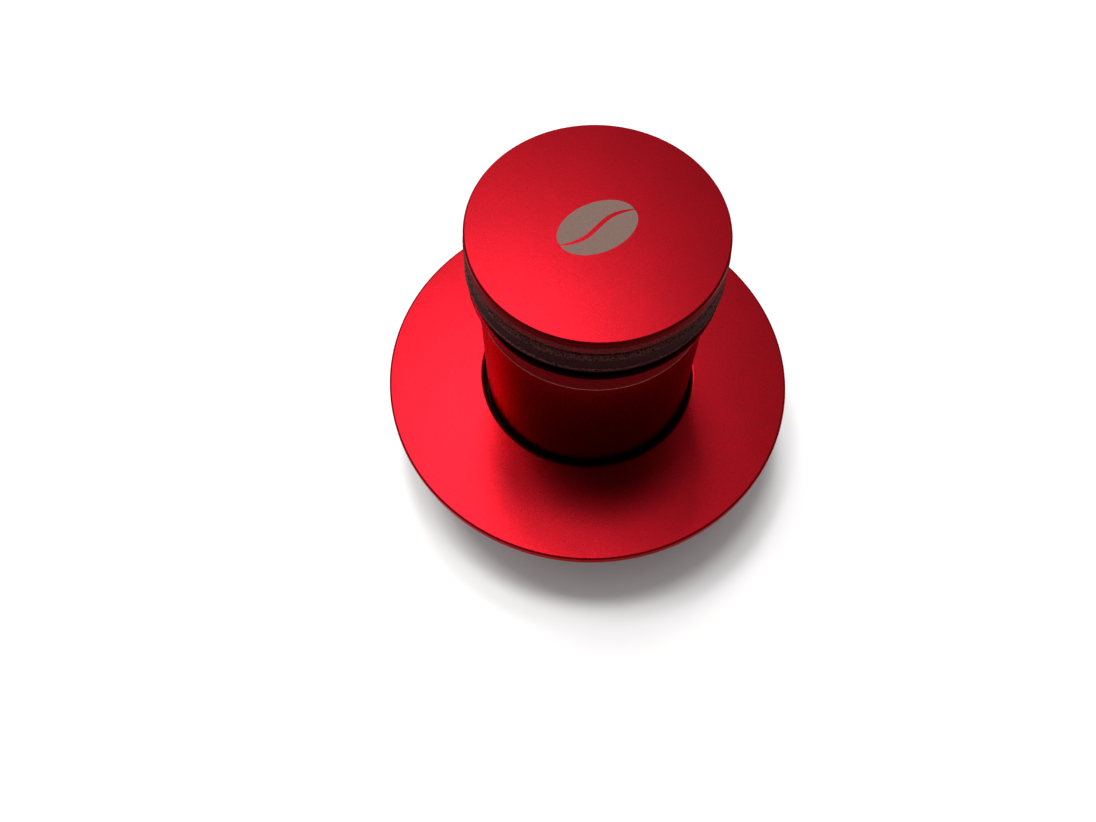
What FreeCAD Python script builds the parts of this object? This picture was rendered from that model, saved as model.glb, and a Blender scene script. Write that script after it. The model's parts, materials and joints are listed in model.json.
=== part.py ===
import FreeCAD, Part
import math
import os

# Espresso tamper with an impact mechanism, a turning force knob and a sliding levelling plate.
# All sizes in mm, +Z up, the tamping face lies on z = 0 and the axis is Z.

V = FreeCAD.Vector

# ---- driving sizes ----
total_h = 68.0          # tamping face to the top of the cap
body_r = 20.8           # straight cylindrical housing
plate_r = 41.2          # levelling plate
base_r = 29.175         # tamping base for a 58.5 mm basket
axial = total_h / 68.0  # lengths along the axis grow with the height
radial = body_r / 20.8  # radii inside grow with the housing

stroke = 6.0 * axial    # how far the handle sinks before the hammer is let go
turn_down = 3.0 * axial  # spring seat travel towards more force
turn_up = 0.75 * axial  # spring seat travel towards less force
pin_lean = 1.2 * radial  # how far the trigger pin stands off the axis at rest

# ---- named clearances ----
run_gap = 0.05          # radial gap of a shaft in its guide
thread_gap = 0.05       # radial gap of a thread drawn as a plain cylinder
slide_gap = 0.08        # radial gap of the plate bush on the housing
snap_gap = 0.1          # axial gap beside a snap ring
free_gap = 0.3          # gap between parts that pass each other
stop_gap = 0.5          # gap left at the end of the stroke

# ---- tamping base and stem ----
base_t = 6.5 * axial
base_pad_r = 13.0 * radial
base_edge_drop = 1.3 * axial
base_edge_break = 0.25
stem_r = 5.5 * radial
stem_foot_r = 9.0 * radial
stem_foot_t = 1.5 * axial
stem_spigot_r = 5.0 * radial
stem_spigot_len = 3.9 * axial
clip_t = 1.0 * axial
clip_groove_cut = 0.6 * radial
cup_r = 4.8 * radial
cup_depth = 2.2 * axial
base_screw_pcr = 7.2 * radial
base_screw_r = 1.0 * radial
base_screw_head_r = 1.6 * radial
base_screw_len = 5.0 * axial

# ---- trigger pin ----
pin_r = 2.2 * radial
pin_foot_r = 3.5 * radial
pin_cone_low_r = 4.75 * radial
pin_cone_top_r = 3.5 * radial
pin_cone_h = 2.5 * axial
pocket_r = 1.0 * radial
pocket_x = 2.2 * radial
pocket_depth = 3.0 * axial
trigger_wire = 0.3 * radial

# ---- housing ----
under_gap = 1.9 * axial
plug_len = 9.6 * axial
plug_r = 14.0 * radial
mid_bore_r = 11.0 * radial
bore_r = 11.8 * radial
neck_r = 18.0 * radial
shoulder_r = 22.4 * radial
shoulder_top = total_h - 11.6 * axial
shoulder_drop = 3.6 * axial
lip_t = 0.45 * axial
body_edge_break = 0.3
bumper_t = 1.0 * axial

# ---- end plug, bush, wiper, return spring ----
bush_r = 7.0 * radial
wiper_t = 1.5 * axial
spring_pocket_in = 8.6 * radial
spring_pocket_out = 11.4 * radial
spring_pocket_top = 2.0 * axial
return_wire = 1.0 * radial
return_mean_r = 9.95 * radial
return_turns = 6.0
spanner_r = 0.8 * radial

# ---- cone ring and hammer ----
cone_t = 3.5 * axial
cone_low_r = 5.0 * radial
cone_top_r = pin_r + pin_lean + 0.2
cone_land = 1.0 * axial
hammer_rim_t = 2.5 * axial
hammer_core_r = 6.5 * radial
hammer_bore_r = pin_r + 0.2
hammer_bore_len = 4.0 * axial
hammer_rest_gap = 0.4
main_wire = 1.5 * radial
main_mean_r = 9.5 * radial

# ---- knob: hub, cap, rings, adjuster ----
cap_t = 1.5 * axial
cap_r = 22.3 * radial
cap_edge_break = 0.3
hub_r = 21.0 * radial
recess_depth = 1.1 * axial
recess_r = 18.0 * radial
ceiling_t = 1.9 * axial
hub_gap = 0.6 * axial
grip_r = 22.65 * radial
upper_ring_t = 1.4 * axial
lower_ring_top = 4.3 * axial
lower_ring_t = 4.3 * axial
spigot_wall = 2.4 * radial
o_ring_r = 0.34 * radial
screw_r = 3.9 * radial
screw_flange_r = 8.0 * radial
screw_flange_t = 1.0 * axial
knob_screw_pcr = 6.0 * radial
knob_screw_r = 1.0 * radial
knob_screw_head_r = 1.7 * radial
snap_ring_t = 0.9 * axial
snap_ring_drop = 3.4 * axial
seat_t = 2.5 * axial
key_r = 1.2 * radial
detent_r = 1.25 * radial
detent_pcr = 15.0 * radial
detent_wire = 0.3 * radial
dimple_count = 12

# ---- levelling plate ----
plate_top = total_h - 48.9 * axial
plate_t = 2.0 * axial
plate_edge_round = 0.45 * axial
plate_hub_r = 25.0 * radial
plate_hub_drop = 0.8 * axial
plate_bush_r = 21.4 * radial
plate_bush_sink = 1.5 * axial
plate_lip_round = 0.8 * axial
bead_out = 0.4 * radial
bead_h = 0.6 * axial
stop_ring_t = 0.8 * axial
stop_ring_r = 21.8 * radial
stop_groove_cut = 0.8 * radial

# ---- levels up from the tamping face ----
housing_z = base_t + stroke + under_gap
plug_top = housing_z + plug_len
stem_clip_z = plug_top + bumper_t + snap_gap
cup_z = stem_clip_z + clip_t + 0.2
stem_top = cup_z + cup_depth
cone_z = stem_top + stroke + stop_gap
cone_top = cone_z + cone_t
cone_clip_z = cone_top + snap_gap
hammer_bumper_z = cone_clip_z + clip_t
hammer_z = hammer_bumper_z + bumper_t + hammer_rest_gap
rim_top = hammer_z + hammer_rim_t

# ---- levels down from the cap ----
cap_z = total_h - cap_t
recess_z = cap_z - recess_depth
ceiling_z = recess_z - ceiling_t
seat_top = ceiling_z - 0.25 - turn_up
seat_z = seat_top - seat_t
seat_low = seat_z - turn_down
screw_end = seat_low - 1.0
core_top = screw_end - stop_gap - stroke
neck_top = ceiling_z - 0.9 * axial
hub_z = shoulder_top + hub_gap
snap_ring_z = ceiling_z - snap_ring_drop
main_turns = 0.9 * (seat_low - rim_top - stroke) / main_wire


def tube(r_in, r_out, z0, z1):
    """Plain ring from z0 to z1."""
    ring = Part.makeCylinder(r_out, z1 - z0, V(0, 0, z0))
    if r_in > 0:
        ring = ring.cut(Part.makeCylinder(r_in, z1 - z0 + 2, V(0, 0, z0 - 1)))
    return ring


def turned(profile):
    """Solid of revolution about Z of a closed outline given as (radius, height) points."""
    points = [V(r, 0, z) for r, z in profile]
    points.append(points[0])
    face = Part.Face(Part.makePolygon(points))
    return face.revolve(V(0, 0, 0), V(0, 0, 1), 360)


def rod(r, z0, z1, x=0.0, y=0.0):
    """Upright cylinder."""
    return Part.makeCylinder(r, z1 - z0, V(x, y, z0))


def cone(r0, r1, z0, z1, x=0.0, y=0.0):
    """Upright cone frustum."""
    return Part.makeCone(r0, r1, z1 - z0, V(x, y, z0))


def around(count, radius, phase=0.0):
    """Evenly spaced points on a circle."""
    steps = [phase + 2 * math.pi * k / count for k in range(count)]
    return [(radius * math.cos(a), radius * math.sin(a)) for a in steps]


def joined(shapes):
    """One shape from several that touch or overlap."""
    whole = shapes[0]
    for other in shapes[1:]:
        whole = whole.fuse(other)
    return whole.removeSplitter()


def without(shape, cutters):
    """Shape with every cutter taken away."""
    for cutter in cutters:
        shape = shape.cut(cutter)
    return shape


def coil(mean_r, wire, z0, z1, turns, x=0.0):
    """Round-wire compression spring with both ends ground flat."""
    low = z0 + 0.25 * wire
    rise = z1 - z0 - 0.5 * wire
    helix = Part.makeHelix(rise / turns, rise, mean_r)
    section = Part.Wire(Part.makeCircle(wire / 2, V(mean_r, 0, 0), V(0, 1, 0)))
    body = Part.Wire(helix.Edges).makePipeShell([section], True, True)
    body.translate(V(x, 0, low))
    span = 2 * (mean_r + wire)
    trim = Part.makeBox(span, span, z1 - z0, V(x - span / 2, -span / 2, z0))
    return body.common(trim)


def open_ring(r_in, r_out, z0, z1, gap_deg):
    """Flat snap ring with a gap on its -Y side."""
    half = math.radians(gap_deg / 2)
    reach = 2 * r_out
    corners = [V(0, 0, z0 - 1)]
    corners.append(V(-reach * math.sin(half), -reach * math.cos(half), z0 - 1))
    corners.append(V(reach * math.sin(half), -reach * math.cos(half), z0 - 1))
    corners.append(corners[0])
    wedge = Part.Face(Part.makePolygon(corners)).extrude(V(0, 0, z1 - z0 + 2))
    return tube(r_in, r_out, z0, z1).cut(wedge)


def soft_ring(r_in, r_out, z0, z1, edge):
    """Elastic band with rounded outer edges."""
    ring = tube(r_in, r_out, z0, z1)
    rims = [e for e in ring.Edges if is_rim(e, r_out, z0) or is_rim(e, r_out, z1)]
    return ring.makeFillet(edge, rims)


def is_rim(edge, radius, level):
    """True for a full circle of this radius at this height."""
    if not isinstance(edge.Curve, Part.Circle):
        return False
    return abs(edge.Curve.Radius - radius) < 1e-6 and abs(edge.Curve.Center.z - level) < 1e-6


# ---- foot: what stays on the coffee ----
def make_tamper_base():
    """Flat polished disc with a sloped back and threads for the stem and its screws."""
    top_r = base_r - 1.2
    profile = [(0, 0), (base_r - base_edge_break, 0), (base_r, base_edge_break)]
    profile += [(base_r, base_t - base_edge_drop - 0.8 * axial)]
    profile += [(top_r, base_t - base_edge_drop), (base_pad_r, base_t), (0, base_t)]
    socket_z = base_t - stem_spigot_len - 0.1
    cutters = [rod(stem_spigot_r + thread_gap, socket_z, base_t + 1)]
    for x, y in around(3, base_screw_pcr, math.pi / 2):
        depth = base_screw_len - stem_foot_t + 0.3
        cutters.append(rod(base_screw_r + thread_gap, base_t - depth, base_t + 1, x, y))
    return without(turned(profile), cutters)


def make_stem():
    """Hardened push rod with a flange on the base and a cup for the trigger pin on top."""
    foot_top = base_t + stem_foot_t
    shape = joined([
        rod(stem_spigot_r, base_t - stem_spigot_len, base_t),
        rod(stem_foot_r, base_t, foot_top),
        rod(stem_r, foot_top, stem_top),
    ])
    groove = tube(stem_r - clip_groove_cut, stem_r + 1, stem_clip_z - 0.02, stem_clip_z + clip_t + 0.02)
    cutters = [groove, rod(cup_r, cup_z, stem_top + 1)]
    cutters.append(rod(pocket_r, cup_z - pocket_depth, cup_z + 0.1, pocket_x))
    head_h = base_screw_head_r - base_screw_r
    for x, y in around(3, base_screw_pcr, math.pi / 2):
        cutters.append(rod(base_screw_r + thread_gap, base_t - 1, foot_top + 1, x, y))
        low = foot_top - head_h
        cutters.append(cone(base_screw_r + thread_gap, base_screw_head_r + thread_gap, low, foot_top, x, y))
    return without(shape, cutters)


def countersunk(shank_r, head_r, top_z, length, x, y):
    """Countersunk screw with a cross-shaped drive slot cut as one straight slot."""
    head_h = head_r - shank_r
    low = top_z - head_h
    screw = joined([
        rod(shank_r, top_z - length, low, x, y),
        cone(shank_r, head_r, low, top_z, x, y),
    ])
    slot = Part.makeBox(2 * head_r, 0.4 * shank_r, 0.3 * shank_r)
    slot.translate(V(x - head_r, y - 0.2 * shank_r, top_z - 0.3 * shank_r))
    return screw.cut(slot)


def make_base_screws():
    """Three screws through the stem flange into the base."""
    top = base_t + stem_foot_t
    places = around(3, base_screw_pcr, math.pi / 2)
    head_r = base_screw_head_r
    screws = [countersunk(base_screw_r, head_r, top, base_screw_len, x, y) for x, y in places]
    return Part.makeCompound(screws)


def make_stem_circlip():
    """Keeps the stem from dropping out of the end plug."""
    r_in = stem_r - clip_groove_cut + 0.02
    return open_ring(r_in, 8.0 * radial, stem_clip_z, stem_clip_z + clip_t, 60)


def make_trigger_spring():
    """Small spring under one side of the trigger pin's foot, which tips the pin over."""
    mean_r = pocket_r - trigger_wire
    return coil(mean_r, trigger_wire, cup_z - pocket_depth, cup_z, 5.0, pocket_x)


def make_return_spring():
    """Lifts the handle off the base after the blow."""
    top = plug_top - spring_pocket_top
    return coil(return_mean_r, return_wire, base_t, top, return_turns)


def make_trigger_pin():
    """Release pin, leaning off the axis at rest so that its end carries the hammer."""
    shape = joined([
        rod(pin_foot_r, cup_z, stem_top + 0.2),
        cone(pin_cone_low_r, pin_cone_top_r, stem_top + 0.2, stem_top + 0.2 + pin_cone_h),
        rod(pin_r, stem_top + 0.2 + pin_cone_h, hammer_z),
    ])
    shape.translate(V(-pin_lean, 0, 0))
    return shape


# ---- handle: housing and what is fixed in it ----
def make_housing():
    """Straight red cylinder with a flared shoulder, a neck for the knob and a stepped bore."""
    flare_low = shoulder_top - shoulder_drop
    rise = shoulder_drop - lip_t
    profile = [(plug_r, housing_z), (body_r - body_edge_break, housing_z)]
    profile += [(body_r, housing_z + body_edge_break)]
    steps = 10
    for k in range(steps + 1):
        t = k / steps
        out = (shoulder_r - body_r) * (1 - math.cos(t * math.pi / 2))
        profile.append((body_r + out, flare_low + rise * math.sin(t * math.pi / 2)))
    profile += [(shoulder_r, shoulder_top - 0.1), (shoulder_r - 0.1, shoulder_top)]
    profile += [(neck_r, shoulder_top), (neck_r, neck_top - 0.3), (neck_r - 0.3, neck_top)]
    profile += [(bore_r, neck_top), (bore_r, cone_z), (mid_bore_r, cone_z)]
    profile += [(mid_bore_r, plug_top), (plug_r, plug_top)]
    clip_z = cone_clip_z
    groove_z = plate_stop_z()
    ring_z = snap_ring_z
    ring_cut = 0.8 * radial
    cutters = [
        tube(body_r - stop_groove_cut, body_r + 2, groove_z - 0.02, groove_z + stop_ring_t + 0.02),
        tube(neck_r - ring_cut, neck_r + 2, ring_z - 0.03, ring_z + snap_ring_t + 0.03),
        tube(bore_r - 1, bore_r + 0.6 * radial, clip_z - 0.03, clip_z + clip_t + 0.03),
        rod(detent_r + run_gap, detent_floor(), neck_top + 1, 0, detent_pcr),
    ]
    for x, y in around(2, bore_r):
        cutters.append(rod(key_r, seat_low - 0.5, neck_top + 1, x, y))
    return without(turned(profile), cutters)


def plate_stop_z():
    """Underside of the ring under the hub of the levelling plate."""
    return plate_top - plate_t - plate_hub_drop - snap_gap - stop_ring_t


def detent_floor():
    """Bottom of the detent pocket in the neck."""
    return ceiling_z - 6.1 * axial


def make_end_plug():
    """Threaded plug that closes the housing and holds the guide bush."""
    shape = tube(bush_r, plug_r - thread_gap, housing_z, plug_top)
    well_top = plug_top - spring_pocket_top
    cutters = [tube(spring_pocket_in, spring_pocket_out, housing_z - 1, well_top)]
    middle = (spring_pocket_out + plug_r) / 2
    for x, y in around(2, middle):
        cutters.append(rod(spanner_r, housing_z - 1, housing_z + 2.0 * axial, x, y))
    return without(shape, cutters)


def make_guide_bush():
    """Bronze bush the stem runs in."""
    return tube(stem_r + run_gap, bush_r, housing_z + wiper_t, plug_top)


def make_wiper_seal():
    """Keeps coffee grounds out of the bush."""
    return tube(stem_r + run_gap, bush_r, housing_z, housing_z + wiper_t)


def make_stem_bumper():
    """Rubber washer that the stem's clip comes to rest on."""
    return tube(stem_r + free_gap, 9.0 * radial, plug_top, plug_top + bumper_t)


def make_cone_ring():
    """Hardened ring whose taper centres the trigger pin at the end of the stroke."""
    profile = [(cone_low_r, cone_z), (bore_r - 0.02, cone_z), (bore_r - 0.02, cone_top)]
    profile += [(cone_top_r, cone_top), (cone_top_r, cone_top - cone_land)]
    return turned(profile)


def make_cone_circlip():
    """Internal snap ring above the cone ring."""
    outer = bore_r + 0.55 * radial
    return open_ring(outer - 1.6 * radial, outer, cone_clip_z, cone_clip_z + clip_t, 50)


def make_hammer_bumper():
    """Rubber ring that softens an empty blow."""
    return tube(6.0 * radial, bore_r - free_gap, hammer_bumper_z, hammer_bumper_z + bumper_t)


def make_seat_key_pins():
    """Two dowels half sunk in the bore that stop the spring seat from turning."""
    return Part.makeCompound([rod(key_r - 0.01, seat_low - 0.5, neck_top, x, y) for x, y in around(2, bore_r)])


def make_knob_snap_ring():
    """Holds the knob down on the neck and lets it turn."""
    r_in = neck_r - 0.75 * radial
    return open_ring(r_in, neck_r + 0.7 * radial, snap_ring_z, snap_ring_z + snap_ring_t, 24)


def make_friction_washer():
    """Black plastic washer between the shoulder and the knob."""
    return tube(neck_r + snap_gap, hub_r - 0.1, shoulder_top, hub_z)


def make_detent_ball():
    """Steel ball that clicks into the dimples under the knob's ceiling."""
    return Part.makeSphere(detent_r, V(0, detent_pcr, ceiling_z - run_gap - detent_r))


def make_detent_spring():
    """Spring under the detent ball."""
    mean_r = detent_r - detent_wire
    top = ceiling_z - run_gap - 2 * detent_r
    spring = coil(mean_r, detent_wire, detent_floor(), top, 6.0)
    spring.translate(V(0, detent_pcr, 0))
    return spring


def make_plate_stop_ring():
    """Snap ring round the housing that the levelling plate rests on."""
    low = plate_stop_z()
    r_in = body_r - stop_groove_cut + 0.02
    return open_ring(r_in, stop_ring_r, low, low + stop_ring_t, 14)


# ---- knob: turns to set the force ----
def make_knob_hub():
    """Black hub with the two ring seats outside and the neck's bearing inside."""
    shape = tube(0, hub_r, hub_z, cap_z)
    ring_low = snap_ring_z - snap_gap
    ring_high = snap_ring_z + snap_ring_t + snap_gap
    cutters = [
        rod(neck_r + snap_gap, hub_z - 1, ceiling_z),
        tube(neck_r - 1, neck_r + 0.9 * radial, ring_low, ring_high),
        rod(recess_r, recess_z, cap_z + 1),
        rod(screw_r + run_gap, ceiling_z - 1, recess_z + 1),
    ]
    for x, y in around(3, knob_screw_pcr, math.pi / 2):
        cutters.append(rod(knob_screw_r + thread_gap, ceiling_z - 1, recess_z + 1, x, y))
    for x, y in around(dimple_count, detent_pcr, math.pi / 2):
        cutters.append(Part.makeSphere(detent_r, V(x, y, ceiling_z + 0.3 - detent_r)))
    return without(shape, cutters)


def make_top_cap():
    """Flat round palm face with a bevelled edge and a spigot that snaps into the hub."""
    spigot_r = recess_r - 0.1
    spigot_z = recess_z + 0.1
    profile = [(0, cap_z), (spigot_r - spigot_wall, cap_z), (spigot_r - spigot_wall, spigot_z)]
    profile += [(spigot_r, spigot_z), (spigot_r, cap_z), (cap_r, cap_z)]
    profile += [(cap_r, total_h - cap_edge_break), (cap_r - cap_edge_break, total_h), (0, total_h)]
    middle = (spigot_z + cap_z) / 2
    half = o_ring_r + 0.05
    groove = tube(recess_r - 2 * o_ring_r - 0.02, recess_r + 1, middle - half, middle + half)
    return turned(profile).cut(groove)


def make_cap_o_ring():
    """Elastic ring that holds the cap in the hub."""
    middle = (recess_z + 0.1 + cap_z) / 2
    return Part.makeTorus(recess_r - o_ring_r - 0.01, o_ring_r, V(0, 0, middle))


def make_grip_ring_upper():
    """Thin rubber ring right under the cap."""
    return soft_ring(hub_r, grip_r - 0.1, cap_z - upper_ring_t, cap_z, 0.35 * axial)


def make_grip_ring_lower():
    """Wide rubber ring for turning the knob."""
    top = total_h - lower_ring_top
    return soft_ring(hub_r, grip_r, top - lower_ring_t, top, 0.55 * axial)


def make_adjuster_screw():
    """Left-hand screw under the cap that carries the spring seat."""
    flange_top = recess_z + screw_flange_t
    shape = joined([rod(screw_r, screw_end, recess_z), rod(screw_flange_r, recess_z, flange_top)])
    head_h = knob_screw_head_r - knob_screw_r
    cutters = []
    for x, y in around(3, knob_screw_pcr, math.pi / 2):
        cutters.append(rod(knob_screw_r + thread_gap, recess_z - 1, flange_top + 1, x, y))
        low = flange_top - head_h
        cutters.append(cone(knob_screw_r + thread_gap, knob_screw_head_r + thread_gap, low, flange_top, x, y))
    return without(shape, cutters)


def make_knob_screws():
    """Three screws that fix the adjuster's flange to the hub."""
    top = recess_z + screw_flange_t
    places = around(3, knob_screw_pcr, math.pi / 2)
    length = top - ceiling_z - 0.1
    head_r = knob_screw_head_r
    return Part.makeCompound([countersunk(knob_screw_r, head_r, top, length, x, y) for x, y in places])


# ---- parts that ride inside ----
def make_spring_seat():
    """Keyed nut on the adjuster screw that the main spring bears on."""
    shape = tube(screw_r + thread_gap, bore_r - 0.1, seat_z, seat_top)
    cutters = [rod(key_r + 0.1, seat_z - 1, seat_top + 1, x, y) for x, y in around(2, bore_r)]
    return without(shape, cutters)


def make_main_spring():
    """Heavy spring between the hammer's rim and the seat."""
    return coil(main_mean_r, main_wire, rim_top, seat_z, main_turns)


def make_hammer():
    """Steel striker with a blind bore that drops over the centred trigger pin."""
    shape = joined([
        rod(bore_r - run_gap, hammer_z, rim_top),
        rod(hammer_core_r, rim_top, core_top),
    ])
    return shape.cut(rod(hammer_bore_r, hammer_z - 1, hammer_z + hammer_bore_len))


# ---- levelling plate ----
def make_levelling_plate():
    """Thin flat disc with a rounded rim that rests on the basket and keeps the stroke square."""
    under = plate_top - plate_t
    hub_low = under - plate_hub_drop
    edge = plate_edge_round
    lip = plate_lip_round
    profile = [(plate_bush_r, hub_low), (plate_hub_r - 0.4, hub_low), (plate_hub_r, hub_low + 0.4)]
    profile += [(plate_hub_r, under)]
    for k in range(7):
        a = -math.pi / 2 + k * math.pi / 12
        profile.append((plate_r - edge + edge * math.cos(a), under + edge + edge * math.sin(a)))
    for k in range(7):
        a = k * math.pi / 12
        profile.append((plate_r - edge + edge * math.cos(a), plate_top - edge + edge * math.sin(a)))
    for k in range(7):
        a = math.pi / 2 + k * math.pi / 12
        profile.append((plate_bush_r + lip + lip * math.cos(a), plate_top - lip + lip * math.sin(a)))
    middle = bush_middle()
    half = bead_h / 2 + 0.03
    groove = tube(plate_bush_r - 1, plate_bush_r + bead_out + 0.03, middle - half, middle + half)
    return turned(profile).cut(groove)


def bush_ends():
    """Bottom and top of the plate bush: just clear of the stop ring, and sunk below the plate's lip."""
    return plate_stop_z() + stop_ring_t + snap_gap, plate_top - plate_bush_sink


def bush_middle():
    """Height of the bead that locks the plate bush in the plate."""
    return sum(bush_ends()) / 2


def make_plate_bush():
    """Dark plastic sleeve in the plate that slides on the housing."""
    low, high = bush_ends()
    sleeve = tube(body_r + slide_gap, plate_bush_r, low, high)
    middle = bush_middle()
    bead = tube(body_r + slide_gap, plate_bush_r + bead_out, middle - bead_h / 2, middle + bead_h / 2)
    return joined([sleeve, bead])


MAKERS = {
    "tamper_base": make_tamper_base,
    "base_screws": make_base_screws,
    "stem": make_stem,
    "stem_circlip": make_stem_circlip,
    "trigger_spring": make_trigger_spring,
    "return_spring": make_return_spring,
    "trigger_pin": make_trigger_pin,
    "housing": make_housing,
    "end_plug": make_end_plug,
    "guide_bush": make_guide_bush,
    "wiper_seal": make_wiper_seal,
    "stem_bumper": make_stem_bumper,
    "cone_ring": make_cone_ring,
    "cone_circlip": make_cone_circlip,
    "hammer_bumper": make_hammer_bumper,
    "seat_key_pins": make_seat_key_pins,
    "knob_snap_ring": make_knob_snap_ring,
    "friction_washer": make_friction_washer,
    "detent_ball": make_detent_ball,
    "detent_spring": make_detent_spring,
    "plate_stop_ring": make_plate_stop_ring,
    "knob_hub": make_knob_hub,
    "top_cap": make_top_cap,
    "cap_o_ring": make_cap_o_ring,
    "grip_ring_upper": make_grip_ring_upper,
    "grip_ring_lower": make_grip_ring_lower,
    "adjuster_screw": make_adjuster_screw,
    "knob_screws": make_knob_screws,
    "spring_seat": make_spring_seat,
    "main_spring": make_main_spring,
    "hammer": make_hammer,
    "levelling_plate": make_levelling_plate,
    "plate_bush": make_plate_bush,
}

os.makedirs("parts", exist_ok=True)
for name, make in MAKERS.items():
    shape = make()
    shape.exportStep(os.path.join("parts", name + ".step"))
    box = shape.BoundBox
    solids = len(shape.Solids)
    print(name, solids, "solids", round(shape.Volume, 1), "mm3", round(box.ZMin, 2), round(box.ZMax, 2))
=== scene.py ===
import json
import math

import bpy
import numpy as np
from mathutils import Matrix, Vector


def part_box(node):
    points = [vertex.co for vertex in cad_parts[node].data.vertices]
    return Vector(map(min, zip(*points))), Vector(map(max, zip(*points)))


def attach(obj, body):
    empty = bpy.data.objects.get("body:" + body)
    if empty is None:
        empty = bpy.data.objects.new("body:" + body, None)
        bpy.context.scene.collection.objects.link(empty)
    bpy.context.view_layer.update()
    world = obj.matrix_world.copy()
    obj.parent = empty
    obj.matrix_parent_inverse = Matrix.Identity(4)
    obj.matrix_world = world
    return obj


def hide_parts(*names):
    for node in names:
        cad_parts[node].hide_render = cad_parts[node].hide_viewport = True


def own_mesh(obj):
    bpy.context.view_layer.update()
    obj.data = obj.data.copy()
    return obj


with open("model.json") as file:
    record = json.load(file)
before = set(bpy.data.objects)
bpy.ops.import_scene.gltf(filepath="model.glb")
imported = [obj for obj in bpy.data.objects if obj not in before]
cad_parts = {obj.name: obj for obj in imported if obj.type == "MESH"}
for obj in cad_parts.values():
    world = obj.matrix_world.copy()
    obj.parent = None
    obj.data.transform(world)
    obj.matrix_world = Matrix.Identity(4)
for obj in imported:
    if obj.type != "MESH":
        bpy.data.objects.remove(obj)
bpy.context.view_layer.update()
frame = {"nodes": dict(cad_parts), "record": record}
NODES = frame["nodes"]
MM = 0.001

# Steps that a curve is divided into
ROUND = 288          # round every turned piece
ARC_STEPS = 6        # along the arc of a rounded corner
COVE_STEPS = 24      # along the cove under the housing's shoulder
COIL_STEPS = 72      # along each turn of a spring
WIRE_SIDES = 16      # round a spring's wire

# Sizes in mm that no node's box gives
EASE = 0.02          # from a corner to the point that keeps the side beside it flat in shading
HOUSING_R = 20.8     # plain cylinder of the housing
NECK_R = 18.0        # neck of the housing, which the knob turns on
RUNNING_GAP = 0.1    # between the neck and what turns on it
BEAD_DROP = 6.4      # from the shoulder down to the bead that ends its blasted band
BEAD_STEP = 0.05     # how far the blasted band stands out from the plain cylinder
GRIP_BORE_R = 21.0   # inner radius of both grip rings
GRIP_LEAN = 0.25     # how far a grip ring's outermost edge stands out from the rest of its face


# ---------------------------------------------------------------- small helpers
def linear(code):
    """An sRGB hex colour as linear RGBA: c/12.92 below 0.04045, else ((c + 0.055)/1.055)^2.4."""
    s = np.array([int(code[k:k + 2], 16) for k in (0, 2, 4)]) / 255.0
    c = np.where(s <= 0.04045, s / 12.92, ((s + 0.055) / 1.055) ** 2.4)
    return (*(float(v) for v in c), 1.0)


def add(tree, kind, settings=None, links=None):
    """Adds one node, sets its properties or unlinked sockets, and links the sockets named."""
    made = tree.nodes.new(kind)
    for key, value in (settings or {}).items():
        if isinstance(key, str) and hasattr(made, key):
            setattr(made, key, value)
        else:
            made.inputs[key].default_value = value
    for socket, source in (links or {}).items():
        tree.links.new(source, made.inputs[socket])
    return made


def span(name):
    """Outer radius, bottom and top of a node that stands on the axis, in mm."""
    low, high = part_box(name)
    return high.x / MM, low.z / MM, high.z / MM


def rounded(corners, radii):
    """Outline whose corners become arcs. Each corner p between directions a and b is replaced by a circle of
    radius r that touches both sides r / tan(half the angle between them) away from p; r = 0 keeps the corner
    sharp. A pair of points just outside each arc keeps the sides beside it flat in shading."""
    points = np.array(corners, float)
    before = np.roll(points, 1, axis=0)
    after = np.roll(points, -1, axis=0)
    parts = []
    for p, q, s, r in zip(points, before, after, radii):
        a = (q - p) / np.linalg.norm(q - p)
        b = (s - p) / np.linalg.norm(s - p)
        if r == 0:
            parts.append(np.array([p + EASE * a, p, p + EASE * b]))
            continue
        half = math.acos(float(np.clip(a @ b, -1, 1))) / 2
        reach = r / math.tan(half)
        middle = p + (a + b) / np.linalg.norm(a + b) * r / math.sin(half)
        start = p + a * reach - middle
        end = p + b * reach - middle
        turn = math.atan2(start[0] * end[1] - start[1] * end[0], start @ end)
        t = np.linspace(0, turn, ARC_STEPS + 1)
        arc = np.stack([start[0] * np.cos(t) - start[1] * np.sin(t),
                        start[0] * np.sin(t) + start[1] * np.cos(t)], 1) + middle
        parts += [np.array([p + a * (reach + EASE)]), arc, np.array([p + b * (reach + EASE)])]
    return np.concatenate(parts)


def mesh_object(name, points, faces, smooth=True):
    """Puts finished points (mm) and faces into an object at the origin."""
    mesh = bpy.data.meshes.new(name)
    mesh.from_pydata((np.asarray(points) * MM).tolist(), [], faces)
    mesh.validate()
    mesh.polygons.foreach_set("use_smooth", [smooth] * len(mesh.polygons))
    mesh.update()
    made = bpy.data.objects.new(name, mesh)
    bpy.context.scene.collection.objects.link(made)
    return made


def grid_faces(rows, cols, wrap_rows, wrap_cols):
    """Quads between neighbours of a rows x cols grid, joined across the ends that wrap."""
    i = np.arange(rows if wrap_rows else rows - 1)[:, None]
    j = np.arange(cols if wrap_cols else cols - 1)[None, :]
    i2, j2 = (i + 1) % rows, (j + 1) % cols
    quads = np.stack([i * cols + j, i * cols + j2, i2 * cols + j2, i2 * cols + j], -1)
    return quads.reshape(-1, 4)


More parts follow.
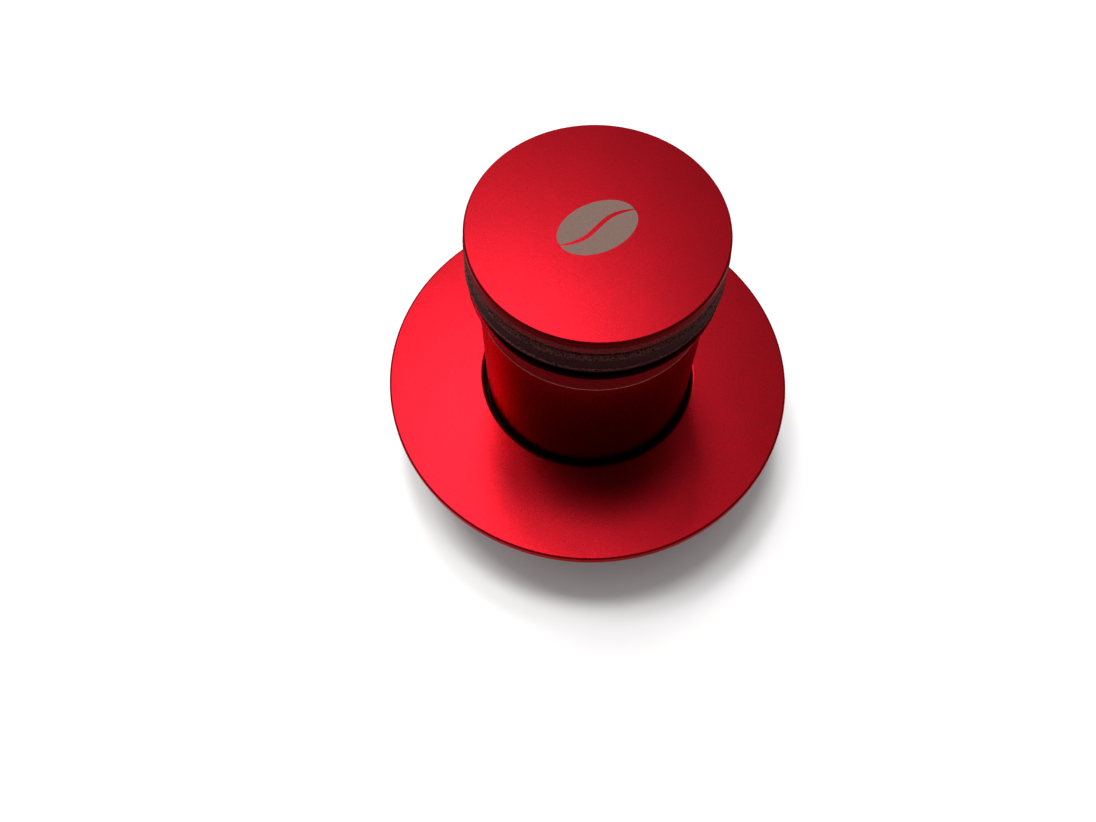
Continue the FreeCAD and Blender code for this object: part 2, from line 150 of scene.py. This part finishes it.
def turned(name, outline, closed=True):
    """Surface of revolution: (r(v) cos u, r(v) sin u, z(v)), with the outline (r, z) in mm taken
    anticlockwise in the r-z half plane. A closed outline makes a ring; an open one starts and ends on the
    axis, where one point closes the pole."""
    outline = np.asarray(outline, float)
    u = np.linspace(0, 2 * math.pi, ROUND, endpoint=False)
    ring = outline if closed else outline[1:-1]
    r, z = ring[:, :1], ring[:, 1:]
    grid = np.stack([r * np.cos(u), r * np.sin(u), z + 0 * u], -1).reshape(-1, 3)
    faces = grid_faces(len(ring), ROUND, closed, True).tolist()
    if not closed:
        base = len(grid)
        ends = [[0, 0, outline[0, 1]], [0, 0, outline[-1, 1]]]
        grid = np.concatenate([grid, ends])
        j = np.arange(ROUND)
        j2 = (j + 1) % ROUND
        last = (len(ring) - 1) * ROUND
        faces += np.stack([0 * j + base, j2, j], 1).tolist()
        faces += np.stack([0 * j + base + 1, last + j, last + j2], 1).tolist()
    return mesh_object(name, grid, faces)


def turned_disc(name, corners, radii):
    """Turned piece with no bore. The corners run from its underside out and round to its top. Two more
    corners beside the axis close the outline for rounding, and one point on the axis at each end takes their
    place."""
    beside, cut = 0.5, 0.6
    low, high = corners[0][1], corners[-1][1]
    ring = rounded(corners + [(beside, high), (beside, low)], radii + [0, 0])
    keep = ring[ring[:, 0] > cut]
    return turned(name, np.concatenate([[(0, low)], keep, [(0, high)]]), closed=False)


def coil(name, mean_r, wire, low, high, turns, first=0.0, last=None):
    """Wire spring: a circle of the wire's radius carried along (R cos t, R sin t, h(t)). h rises one wire
    thickness in the first and last turn, which lie flat, and evenly between them. Both ends are closed.
    first and last cut a length out of the spring, counted in turns from its bottom."""
    last = turns if last is None else last
    steps = int((last - first) * COIL_STEPS)
    n = np.linspace(first, last, steps)
    h = np.interp(n, [0, 1, turns - 1, turns],
                  [low + wire / 2, low + 1.5 * wire, high - 1.5 * wire, high - wire / 2])
    t = 2 * math.pi * n
    centre = np.stack([mean_r * np.cos(t), mean_r * np.sin(t), h], 1)
    along = np.gradient(centre, axis=0)
    along /= np.linalg.norm(along, axis=1)[:, None]
    out = np.stack([np.cos(t), np.sin(t), 0 * t], 1)
    up = np.cross(out, along)
    up /= np.linalg.norm(up, axis=1)[:, None]
    v = np.linspace(0, 2 * math.pi, WIRE_SIDES, endpoint=False)[None, :, None]
    grid = centre[:, None] + wire / 2 * (out[:, None] * np.cos(v) - up[:, None] * np.sin(v))
    faces = grid_faces(steps, WIRE_SIDES, False, True).tolist()
    rim = np.arange(WIRE_SIDES)
    faces.append(rim[::-1].tolist())
    faces.append((rim + (steps - 1) * WIRE_SIDES).tolist())
    return mesh_object(name, grid.reshape(-1, 3), faces)


def fit_out(piece, body, slot, material, *replaced):
    """Puts a finished piece on its body in its material, in place of the nodes it stands for."""
    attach(piece, body)
    piece.data.materials.clear()
    piece.data.materials.append(material)
    if replaced:
        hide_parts(*replaced)
    return piece


# ---------------------------------------------------------------- materials
def new_material(name):
    """Empty node material with a shader on its output; gives the tree, the shader and object coordinates."""
    made = bpy.data.materials.new(name)
    made.use_nodes = True
    tree = made.node_tree
    tree.nodes.clear()
    shader = add(tree, "ShaderNodeBsdfPrincipled")
    add(tree, "ShaderNodeOutputMaterial", links={"Surface": shader.outputs["BSDF"]})
    place = add(tree, "ShaderNodeTexCoord").outputs["Object"]
    return made, tree, shader, place


def anodised(name, dye_light, dye_deep, rough, bead_mm=0.25, sheen=0.06, edge_tint="FFA0A8", cloud_mm=6.0):
    """Aluminium, blasted or finely turned, then dyed and sealed. The surface holds shallow pits, bead_mm
    across, that break up every reflection into a fine grain, and the dye takes a little unevenly, in clouds
    cloud_mm across. The clear oxide over the dye adds a faint neutral sheen, and light that grazes the dye is
    tinted too, because it crosses more of it."""
    pit_depth = 0.03 * MM
    smoother, rougher = 0.03, 0.04
    made, tree, shader, place = new_material(name)
    grain = add(tree, "ShaderNodeTexNoise", {"Scale": 1 / (bead_mm * MM), "Detail": 2.0, "Roughness": 0.6},
                {"Vector": place})
    cloud = add(tree, "ShaderNodeTexNoise", {"Scale": 1 / (cloud_mm * MM), "Detail": 3.0}, {"Vector": place})
    dye = add(tree, "ShaderNodeMix", {"data_type": "RGBA", 6: linear(dye_deep), 7: linear(dye_light)},
              {0: cloud.outputs["Fac"]})
    level = add(tree, "ShaderNodeMapRange", {"From Min": 0.3, "From Max": 0.7, "To Min": rough - smoother,
                                             "To Max": rough + rougher}, {"Value": grain.outputs["Fac"]})
    pits = add(tree, "ShaderNodeBump", {"Strength": 0.3, "Distance": pit_depth},
               {"Height": grain.outputs["Fac"]})
    shader.inputs["Metallic"].default_value = 1.0
    shader.inputs["Specular Tint"].default_value = linear(edge_tint)
    shader.inputs["Coat Weight"].default_value = sheen
    shader.inputs["Coat Roughness"].default_value = 0.3
    tree.links.new(dye.outputs[2], shader.inputs["Base Color"])
    tree.links.new(level.outputs["Result"], shader.inputs["Roughness"])
    tree.links.new(pits.outputs["Normal"], shader.inputs["Normal"])
    return made


def metal(name, tint, rough, ring_mm=0.0):
    """Bare metal with a turned, ground or drawn surface. ring_mm is the pitch of the tool marks round the
    axis; 0 leaves the random haze of a ground or drawn surface, in patches haze_mm across."""
    haze_mm = 0.4
    mark_depth = 0.01 * MM
    smoother, rougher = 0.05, 0.08
    made, tree, shader, place = new_material(name)
    haze = add(tree, "ShaderNodeTexNoise", {"Scale": 1 / (haze_mm * MM), "Detail": 3.0}, {"Vector": place})
    level = add(tree, "ShaderNodeMapRange", {"To Min": rough - smoother, "To Max": rough + rougher},
                {"Value": haze.outputs["Fac"]})
    height = haze.outputs["Fac"]
    if ring_mm:
        flat = add(tree, "ShaderNodeVectorMath", {"operation": "MULTIPLY", 1: (1, 1, 0)}, {0: place})
        out = add(tree, "ShaderNodeVectorMath", {"operation": "LENGTH"}, {0: flat.outputs["Vector"]})
        turns = add(tree, "ShaderNodeMath", {"operation": "MULTIPLY", 1: 2 * math.pi / (ring_mm * MM)},
                    {0: out.outputs["Value"]})
        height = add(tree, "ShaderNodeMath", {"operation": "SINE"}, {0: turns.outputs[0]}).outputs[0]
    marks = add(tree, "ShaderNodeBump", {"Strength": 0.08, "Distance": mark_depth}, {"Height": height})
    shader.inputs["Base Color"].default_value = linear(tint)
    shader.inputs["Metallic"].default_value = 1.0
    tree.links.new(level.outputs["Result"], shader.inputs["Roughness"])
    tree.links.new(marks.outputs["Normal"], shader.inputs["Normal"])
    return made


def matt(name, light, deep, rough, grain_mm, relief_mm, specular=0.5, top_highlight=None):
    """Matt surface, speckled light and deep by a grain of the size given, as a spark-eroded mould or a laser
    leaves it. If a paler colour is given, faces that look up take it: a painted highlight from above."""
    smoother, rougher = 0.08, 0.1
    made, tree, shader, place = new_material(name)
    grain = add(tree, "ShaderNodeTexNoise", {"Scale": 1 / (grain_mm * MM), "Detail": 3.0, "Roughness": 0.7},
                {"Vector": place})
    speckle = add(tree, "ShaderNodeMapRange", {"From Min": 0.38, "From Max": 0.66},
                  {"Value": grain.outputs["Fac"]}).outputs["Result"]
    tone = add(tree, "ShaderNodeMix", {"data_type": "RGBA", 6: linear(deep), 7: linear(light)}, {0: speckle})
    # Painted highlight: faces that look up are lightened towards the given colour, through the grain.
    if top_highlight:
        facing = add(tree, "ShaderNodeSeparateXYZ",
                     links={0: add(tree, "ShaderNodeTexCoord").outputs["Normal"]}).outputs["Z"]
        lit_tops = add(tree, "ShaderNodeMath", {"operation": "MULTIPLY", "use_clamp": True},
                   {0: facing, 1: speckle})
        tone = add(tree, "ShaderNodeMix", {"data_type": "RGBA", 7: linear(top_highlight)},
                   {0: lit_tops.outputs[0], 6: tone.outputs[2]})
    level = add(tree, "ShaderNodeMapRange", {"To Min": rough - smoother, "To Max": rough + rougher},
                {"Value": grain.outputs["Fac"]})
    relief = add(tree, "ShaderNodeBump", {"Strength": 0.5, "Distance": relief_mm * MM},
                 {"Height": grain.outputs["Fac"]})
    shader.inputs["Specular IOR Level"].default_value = specular
    tree.links.new(tone.outputs[2], shader.inputs["Base Color"])
    tree.links.new(level.outputs["Result"], shader.inputs["Roughness"])
    tree.links.new(relief.outputs["Normal"], shader.inputs["Normal"])
    return made


# Anodised aluminium, blasted with fine beads and dyed red: soft broad highlights on a deep, even red.
CAP_RED = anodised("red_anodised_cap", "76020D", "6C020B", rough=0.29)
PLATE_RED = anodised("red_anodised_plate", "76020D", "6C020B", rough=0.29)
# The same on the housing, with finer beads and a thinner oxide: tighter highlights down the cylinder.
BODY_RED = anodised("red_anodised_housing", "76020C", "6A020A", rough=0.25, bead_mm=0.16, sheen=0.02)
# Cap's side, turned and dyed but not blasted: its dye is drawn darker than the face's as painted shade, and
# it shows nearly no highlights.
CAP_SIDE_PAINTED_SHADE = anodised("red_anodised_side_painted_shade", "3A0107", "2E0105", rough=0.42, bead_mm=0.2, sheen=0.02)
# Band under the shoulder, blasted coarser: a dull, mottled dark red, its darkness partly painted shade under
# the shoulder lip. Its clouds are as small as its grain.
SHOULDER_BAND_PAINTED_SHADE = anodised("red_anodised_blasted_band_painted_shade", "780810", "1E0204", rough=0.5, bead_mm=0.3, sheen=0.03,
                        edge_tint="FFC0C0", cloud_mm=0.4)
# Bead at the band's foot: a pale, pinkish line, a painted highlight along its rounded edge.
BEAD_PAINTED_HIGHLIGHT = anodised("red_anodised_bead_painted_highlight", "B47874", "5A2C2A", rough=0.5, bead_mm=0.3, sheen=0.05,
                     edge_tint="FFD0D0", cloud_mm=0.5)
# Aluminium dyed black, which swallows most of the light in the knob's grooves.
BLACK_ANODISED = anodised("black_anodised_aluminium", "0D0607", "080405", rough=0.5, sheen=0.02,
                          edge_tint="808080")
# Rubber, moulded in a spark-eroded mould: matt and speckled. The grain is drawn as coarse as it has to be to
# show. The wide ring's copy is drawn darker as painted shade, with a painted highlight on its edges that look
# up.
UPPER_GRIP = matt("oxblood_grip_rubber", "80181C", "240507", rough=0.75, grain_mm=0.26, relief_mm=0.08,
                  specular=0.05)
GRIP_RUBBER_SHADE_AND_HIGHLIGHT = matt("grip_rubber_painted_shade_and_highlight", "3A0C0F", "0C0203", rough=0.75, grain_mm=0.26, relief_mm=0.08,
                   specular=0.04, top_highlight="86504C")
# Nitrile rubber, moulded: a neutral black with a slight gloss.
SEAL_RUBBER = matt("nitrile_seal_rubber", "1C1A1A", "101010", rough=0.6, grain_mm=0.3, relief_mm=0.02)
# Acetal, moulded and dulled by the faces that slide on it: black with hardly any gloss, tinted red as a
# painted reflection of the red parts round it.
BLACK_ACETAL_RED_REFLECTION = matt("black_acetal_painted_red_reflection", "1C0606", "0C0303", rough=0.65, grain_mm=0.2, relief_mm=0.015,
                    specular=0.04)
# Aluminium where a laser has burnt the dye away: a flat brownish grey, matt and slightly speckled.
ETCHED = matt("laser_etched_aluminium", "785B50", "5C463D", rough=0.62, grain_mm=0.18, relief_mm=0.01,
              specular=0.35)
# Stainless steel, finely turned: rings round the axis that stretch highlights across them.
TURNED_STEEL = metal("fine_turned_stainless", "CFCBC5", rough=0.24, ring_mm=0.16)
# Hardened steel, ground: an even grey haze.
GROUND_STEEL = metal("ground_hardened_steel", "B4B4B6", rough=0.3)
# Spring wire, drawn: a duller grey.
SPRING_STEEL = metal("drawn_spring_wire", "A2A2A6", rough=0.34)
# Steel, blackened in an oxide bath: nearly black, with a metal's reflections.
BLACK_STEEL = metal("blackened_steel", "2A2A2C", rough=0.4)
# Bronze, pressed and sintered: a dull brown gold.
BRONZE = metal("sintered_bronze", "B98B52", rough=0.42)
# Aluminium as it leaves the lathe: bright, with rings round the axis.
BARE_ALUMINIUM = metal("machined_aluminium", "D6D6D8", rough=0.32, ring_mm=0.2)

SLOT_MATERIALS = {
    "cap_anodised": CAP_RED,
    "housing_anodised": BODY_RED,
    "plate_anodised": PLATE_RED,
    "black_anodised": BLACK_ANODISED,
    "grip_rubber": GRIP_RUBBER_SHADE_AND_HIGHLIGHT,
    "seal_rubber": SEAL_RUBBER,
    "black_plastic": BLACK_ACETAL_RED_REFLECTION,
    "polished_steel": TURNED_STEEL,
    "hardened_steel": GROUND_STEEL,
    "spring_steel": SPRING_STEEL,
    "black_steel": BLACK_STEEL,
    "bronze": BRONZE,
    "plain_aluminium": BARE_ALUMINIUM,
}
for part in frame["record"]["subparts"]:
    mesh = NODES[part["node"]].data
    mesh.materials.clear()
    mesh.materials.append(SLOT_MATERIALS[part["material_slot"]])


def band_material(piece, low, high, material):
    """Gives another material to the faces of a turned piece whose middles lie between two heights in mm and
    more than 0.5 mm outside the neck."""
    mesh = piece.data
    mesh.materials.append(material)
    chosen = np.zeros(len(mesh.polygons), np.int32)
    mesh.polygons.foreach_get("material_index", chosen)
    middle = np.zeros(3 * len(mesh.polygons))
    mesh.polygons.foreach_get("center", middle)
    x, y, z = middle.reshape(-1, 3).T / MM
    inside = (z > low) & (z < high) & (np.hypot(x, y) > NECK_R + 0.5)
    chosen[inside] = len(mesh.materials) - 1
    mesh.polygons.foreach_set("material_index", chosen)


# ---------------------------------------------------------------- the knob
def make_cap():
    """Flat disc with a small bevel round the palm face and a hollow spigot below."""
    r, low, top = span("top_cap")
    under = span("knob_hub")[2]
    bevel, spigot, spigot_wall = 0.3, 17.9, 2.4
    edge, bevel_edge = 0.1, 0.12
    corners = [(spigot - spigot_wall, under), (spigot - spigot_wall, low), (spigot, low), (spigot, under),
               (r, under), (r, top - bevel), (r - bevel, top)]
    return turned_disc("palm_cap", corners, [0, 0, 0, 0, edge, bevel_edge, bevel_edge])


def make_washer():
    """Flat ring round the neck: a rectangle with its outer corners rounded, turned about the axis."""
    r, low, top = span("friction_washer")
    bore, edge = NECK_R + RUNNING_GAP, 0.1
    ring = rounded([(bore, low), (r, low), (r, top), (bore, top)], [0, edge, edge, 0])
    return turned("thrust_washer", ring)


def make_upper_grip():
    """Band that leans out from the side of the cap to a rounded lower edge."""
    r, low, top = span("grip_ring_upper")
    lower_edge, upper_edge = 0.25, 0.08
    return turned("upper_grip_ring", rounded(
        [(GRIP_BORE_R, low), (r, low), (r - GRIP_LEAN, top), (GRIP_BORE_R, top)],
        [0, lower_edge, upper_edge, 0]))


def make_lower_grip():
    """Band with a straight face, a thin rib that stands out round its foot, and a sloped top edge. Its top
    lies 0.45 mm below its node's, which widens the groove above it."""
    r, low, top = span("grip_ring_lower")
    upper = top - 0.45
    face = r - GRIP_LEAN
    rib, rib_slope = low + 0.75, 0.2
    slope_in, slope_down = 0.65, 0.5
    outline = [(GRIP_BORE_R, low), (r, low), (r, rib - rib_slope), (face, rib), (face, upper - slope_down),
               (face - slope_in, upper), (GRIP_BORE_R, upper)]
    return turned("lower_grip_ring", rounded(outline, [0, 0.25, 0.1, 0.08, 0.15, 0.15, 0]))


def make_hub():
    """Cup with its mouth down that runs on the neck of the housing, with a shallow recess on top for the
    cap's spigot and a hole through the middle for the adjuster screw."""
    r, low, top = span("knob_hub")
    bore, recess, hole = NECK_R + RUNNING_GAP, 18.0, 3.95
    ceiling, floor = top - 3.0, top - 1.1
    edge, outer_edge = 0.1, 0.15
    ring = rounded([(bore, low), (r, low), (r, top), (recess, top), (recess, floor), (hole, floor),
                    (hole, ceiling), (bore, ceiling)], [edge, outer_edge, edge, edge, 0, 0, 0, 0])
    return turned("knob_body", ring)


# ---------------------------------------------------------------- the housing
def make_housing():
    """Straight cylinder, a fine bead, a quarter-ellipse cove that flares out to the shoulder lip, the neck
    above, and the stepped bore inside. The cove is r + step + (lip - r - step)(1 - cos t) out and
    3.15 sin t up, for t from 0 to a quarter turn."""
    lip_r, low, top = span("housing")
    r = HOUSING_R
    shoulder = span("friction_washer")[1]
    bead = shoulder - BEAD_DROP
    hair = 0.01
    foot_edge, lip_edge, neck_edge = 0.3, 0.12, 0.3
    plug_r, plug_top = 14.0, 24.0
    guide_r, guide_top = 11.0, 35.0
    bore_r = 11.8
    foot = [(plug_r, low), (r - foot_edge, low), (r - foot_edge + 2 * hair, low + hair),
            (r - hair, low + foot_edge - 2 * hair), (r, low + foot_edge), (r, low + foot_edge + 4 * hair),
            (r, bead - 0.24)]
    # How far out from the cylinder, and how far up from the bead's middle
    bead_line = np.array([(0, -0.2), (0.11, -0.12), (0.15, 0), (0.13, 0.08), (BEAD_STEP, 0.16),
                          (BEAD_STEP, 0.2)]) + (r, bead)
    flare, rise = shoulder - 3.6, 3.15
    t = np.linspace(0, math.pi / 2, COVE_STEPS)
    cove = np.stack([r + BEAD_STEP + (lip_r - r - BEAD_STEP) * (1 - np.cos(t)), flare + rise * np.sin(t)], 1)
    neck = [(lip_r, shoulder - lip_edge), (lip_r - 3 * hair, shoulder - 3 * hair),
            (lip_r - lip_edge, shoulder), (NECK_R + EASE, shoulder), (NECK_R, shoulder),
            (NECK_R, shoulder + EASE), (NECK_R, top - neck_edge), (NECK_R - neck_edge, top)]
    inside = [(bore_r + EASE, top), (bore_r, top), (bore_r, top - EASE), (bore_r, guide_top),
              (guide_r, guide_top), (guide_r, plug_top), (plug_r, plug_top)]
    return turned("housing_shell", np.concatenate([foot, bead_line, cove, neck, inside]))


# ---------------------------------------------------------------- the levelling plate
def plate_bore():
    """Radius of the plate's bore as drawn: 0.4 mm less than the bush's node, so that only a thin dark line of
    the bush shows round the housing."""
    return span("plate_bush")[0] - 0.4


def make_plate():
    """Flat disc 2 mm thick with a fully rounded rim, a stiffening hub below and a soft round on its bore."""
    r, low, top = span("levelling_plate")
    under, hub_r = top - 2.0, 25.0
    hub_edge, rim_edge, bore_edge = 0.3, 0.45, 0.8
    bore = plate_bore()
    ring = rounded([(bore, low), (hub_r, low), (hub_r, under), (r, under), (r, top), (bore, top)],
                   [0, hub_edge, 0, rim_edge, rim_edge, bore_edge])
    return turned("levelling_disc", ring)


def make_bush():
    """Thin sleeve in the plate's bore with its edges rounded."""
    low, top = span("plate_bush")[1:]
    inner, outer = HOUSING_R + 0.08, plate_bore() - 0.02
    edge, top_edge = 0.1, 0.15
    ring = rounded([(inner, low), (outer, low), (outer, top), (inner, top)], [edge, edge, edge, top_edge])
    return turned("plate_slide_bush", ring)


# ---------------------------------------------------------------- the tamping base
def make_base():
    """Flat disc with a crisp tamping edge and a gently sloped back."""
    r, low, top = span("tamper_base")
    wall_top, slope_top = top - 2.1, top - 1.3
    slope_in, boss_r = 1.2, 13.0
    return turned_disc("tamping_disc", [(r, low), (r, wall_top), (r - slope_in, slope_top), (boss_r, top)],
                       [0.2, 0.4, 0.6, 0.8])


# ---------------------------------------------------------------- the etched mark
def make_bean_half(name, side):
    """Half of a coffee bean, etched into the palm face. Along the bean, v runs from -1 to 1. Across it, the
    half reaches from the seam, c sin(pi v) plus a gap of g sqrt(1 - v^2) on its side, to the oval's edge at
    b sqrt(1 - v^2). The sheet lies 0.01 mm over the face and is turned 35 degrees on it."""
    long_half, wide_half, seam, gap = 7.3, 4.9, 0.8, 0.42
    rows, cols, tip = 97, 25, 0.985
    turn, lift = math.radians(35), 0.01
    v = np.linspace(-tip, tip, rows)[:, None]
    u = np.linspace(0, 1, cols)[None, :]
    inner = seam * np.sin(math.pi * v) + side * gap * np.sqrt(1 - v ** 2)
    outer = side * wide_half * np.sqrt(1 - v ** 2)
    x = long_half * v + 0 * u
    y = inner + (outer - inner) * u
    z = span("top_cap")[2] + lift + 0 * x
    grid = np.stack([x * math.cos(turn) - y * math.sin(turn), x * math.sin(turn) + y * math.cos(turn), z], -1)
    faces = grid_faces(rows, cols, False, False)
    return mesh_object(name, grid.reshape(-1, 3), (faces if side < 0 else faces[:, ::-1]).tolist(), False)


# ---------------------------------------------------------------- the pieces in their places
cap = fit_out(make_cap(), "knob", "cap_anodised", CAP_RED, "top_cap")
SIDE_END = 0.2       # how far below the palm face the cap's turned side ends, mm
# The cap's side takes a darker copy of the red dye: painted shade.
band_material(cap, span("knob_hub")[2], span("top_cap")[2] - SIDE_END, CAP_SIDE_PAINTED_SHADE)
fit_out(make_upper_grip(), "knob", "grip_rubber", UPPER_GRIP, "grip_ring_upper")
# The lower ring's rubber is drawn darker as painted shade, with a painted highlight on its edges that look
# up.
fit_out(make_lower_grip(), "knob", "grip_rubber", GRIP_RUBBER_SHADE_AND_HIGHLIGHT, "grip_ring_lower")
fit_out(make_hub(), "knob", "black_anodised", BLACK_ANODISED, "knob_hub")

shell = fit_out(make_housing(), "handle", "housing_anodised", BODY_RED, "housing")
shoulder_z = span("friction_washer")[1]
bead_z = shoulder_z - BEAD_DROP
HIGHLIGHT_BELOW = 0.15    # how far the painted highlight reaches below the bead's middle, mm
HIGHLIGHT_ABOVE = 0.1     # and above it
# Blasted band under the shoulder, drawn darker partly as painted shade.
band_material(shell, bead_z, shoulder_z - EASE, SHOULDER_BAND_PAINTED_SHADE)
# Painted highlight: a pale line along the bead.
band_material(shell, bead_z - HIGHLIGHT_BELOW, bead_z + HIGHLIGHT_ABOVE, BEAD_PAINTED_HIGHLIGHT)
fit_out(make_washer(), "handle", "black_plastic", BLACK_ACETAL_RED_REFLECTION, "friction_washer")

fit_out(make_plate(), "plate", "plate_anodised", PLATE_RED, "levelling_plate")
fit_out(make_bush(), "plate", "black_plastic", BLACK_ACETAL_RED_REFLECTION, "plate_bush")
fit_out(make_base(), "foot", "polished_steel", TURNED_STEEL, "tamper_base")
fit_out(make_bean_half("etched_bean_left", -1), "knob", "cap_anodised", ETCHED)
fit_out(make_bean_half("etched_bean_right", 1), "knob", "cap_anodised", ETCHED)

return_low, return_high = 6.5, 22.0
return_coil = coil("return_coil", mean_r=9.95, wire=1.0, low=return_low, high=return_high, turns=6.0)
fit_out(return_coil, "foot", "spring_steel", SPRING_STEEL, "return_spring")
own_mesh(return_coil)

# The main spring is pressed from both ends, by the hammer below and the seat above. It is drawn as two
# lengths that meet at the end of turn 2.5.
striker_low, striker_high, meet_z, meet_turn = 43.5, 60.0, 52.95, 2.5
striker = {"mean_r": 9.5, "wire": 1.5, "low": striker_low, "high": striker_high, "turns": 4.5}
lower_coil = coil("striker_coil_lower", **striker, last=meet_turn)
fit_out(lower_coil, "handle", "spring_steel", SPRING_STEEL, "main_spring")
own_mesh(lower_coil)
upper_coil = coil("striker_coil_upper", **striker, first=meet_turn)
fit_out(upper_coil, "handle", "spring_steel", SPRING_STEEL)
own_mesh(upper_coil)


# ---------------------------------------------------------------- studio
def studio_floor():
    """Flat square sheet of white paper under the base. Its tone varies a little over patches 30 mm across."""
    half, patch_mm = 4000, 30
    corners = [(-half, -half, 0), (half, -half, 0), (half, half, 0), (-half, half, 0)]
    made = mesh_object("studio_floor", corners, [(0, 1, 2, 3)], False)
    paper, tree, shader, place = new_material("pale_paper")
    tone = add(tree, "ShaderNodeTexNoise", {"Scale": 1 / (patch_mm * MM), "Detail": 2.0}, {"Vector": place})
    mix = add(tree, "ShaderNodeMix", {"data_type": "RGBA", 6: linear("F4F3F2"), 7: linear("FAFAFA")},
              {0: tone.outputs["Fac"]})
    shader.inputs["Roughness"].default_value = 0.9
    tree.links.new(mix.outputs[2], shader.inputs["Base Color"])
    made.data.materials.append(paper)


def softbox(name, place_mm, across_mm, watts, aim_mm=(0, 0, 30)):
    """Round area light that faces a point on the object's axis."""
    lamp = bpy.data.lights.new(name, "AREA")
    lamp.shape = "DISK"
    lamp.size = across_mm * MM
    lamp.energy = watts
    made = bpy.data.objects.new(name, lamp)
    made.location = [v * MM for v in place_mm]
    way = np.array(aim_mm, float) - np.array(place_mm, float)
    way /= np.linalg.norm(way)
    flat = math.hypot(way[0], way[1])
    made.rotation_euler = (math.atan2(flat, -way[2]), 0, math.atan2(way[1], way[0]) - math.pi / 2)
    bpy.context.scene.collection.objects.link(made)


def dim_room(bright_side, dim, bright):
    """Pale walls round the object. Their strength rises from dim to bright with the cosine of the angle to
    the bright side, as in a room with its window there."""
    world = bpy.data.worlds.new("dim_room")
    world.use_nodes = True
    walls = world.node_tree
    room = walls.nodes["Background"]
    room.inputs["Color"].default_value = linear("F4F3F4")
    way = add(walls, "ShaderNodeTexCoord").outputs["Generated"]
    side = add(walls, "ShaderNodeVectorMath", {"operation": "DOT_PRODUCT", 1: bright_side}, {0: way})
    level = add(walls, "ShaderNodeMapRange", {"From Min": 0.1, "To Min": dim, "To Max": bright},
                {"Value": side.outputs["Value"]})
    walls.links.new(level.outputs["Result"], room.inputs["Strength"])
    bpy.context.scene.world = world


def studio_camera(place_mm, turn_degrees, lens_mm):
    """Camera high above the front of the object that looks down on the palm face."""
    lens = bpy.data.cameras.new("camera")
    lens.sensor_width = 36.0
    lens.lens = lens_mm
    lens.clip_start = 0.01
    camera = bpy.data.objects.new("camera", lens)
    camera.location = [v * MM for v in place_mm]
    camera.rotation_euler = [math.radians(v) for v in turn_degrees]
    bpy.context.scene.collection.objects.link(camera)
    bpy.context.scene.camera = camera


studio_floor()
softbox("key_softbox", (-200, 880, 1784), across_mm=434, watts=11.6)
softbox("left_softbox", (-660, 400, 1840), across_mm=600, watts=16)
softbox("overhead_softbox", (-100, 300, 1970), across_mm=400, watts=10)
dim_room(bright_side=(-0.42, 0.62, 0.66), dim=0.24, bright=0.98)
studio_camera(place_mm=(0, -101.12, 202.15), turn_degrees=(26.503, 0.013, 4.621), lens_mm=32.85)
bpy.context.scene.view_settings.view_transform = "Standard"


bpy.context.view_layer.update()
